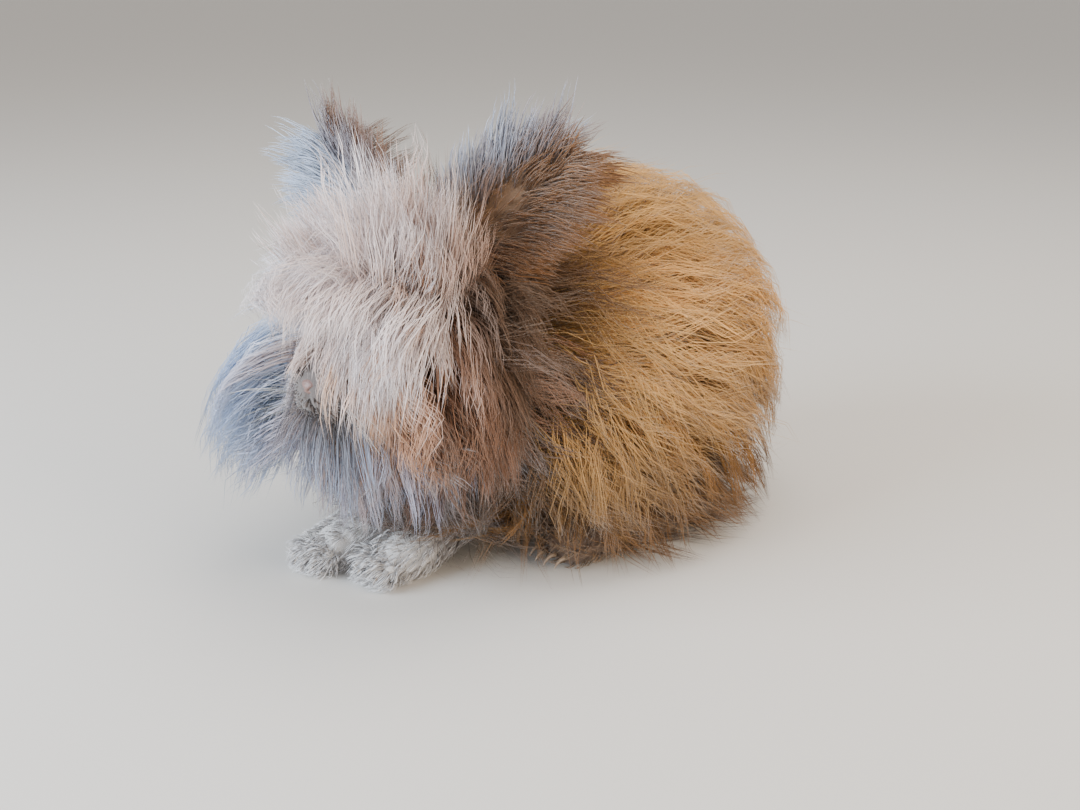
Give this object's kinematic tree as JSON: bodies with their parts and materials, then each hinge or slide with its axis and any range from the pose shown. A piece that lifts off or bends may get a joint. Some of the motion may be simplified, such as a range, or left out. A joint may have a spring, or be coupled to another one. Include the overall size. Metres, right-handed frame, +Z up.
{
  "type": "angora rabbit model",
  "caption": "Life-size still model of a long-coated rabbit, crouched with its head turned to its left and its ears up, resting on its four feet.",
  "frame": {"origin": "centre of the bounding box's base, on the floor that the four soles rest on", "axes": "+Z up, -Y the way the rabbit's body faces, +X its left side"},
  "size_m": [0.2424, 0.3636, 0.2652],
  "materials": {
    "torso": "long soft wool",
    "neck": "long soft wool",
    "head": "long soft wool",
    "ear_left": "short fur with a woolly fringe",
    "ear_right": "short fur with a woolly fringe",
    "eye_left": "polished glass eye",
    "eye_right": "polished glass eye",
    "foreleg_left": "short fur",
    "foreleg_right": "short fur",
    "hindleg_left": "long soft wool",
    "hindleg_right": "long soft wool",
    "tail": "long soft wool"
  },
  "bodies": {
    "root": {"torso": "torso", "neck": "neck", "head": "head", "ear_left": "ear_left", "ear_right": "ear_right", "eye_left": "eye_left", "eye_right": "eye_right", "foreleg_left": "foreleg_left", "foreleg_right": "foreleg_right", "hindleg_left": "hindleg_left", "hindleg_right": "hindleg_right", "tail": "tail"}
  },
  "joints": []
}
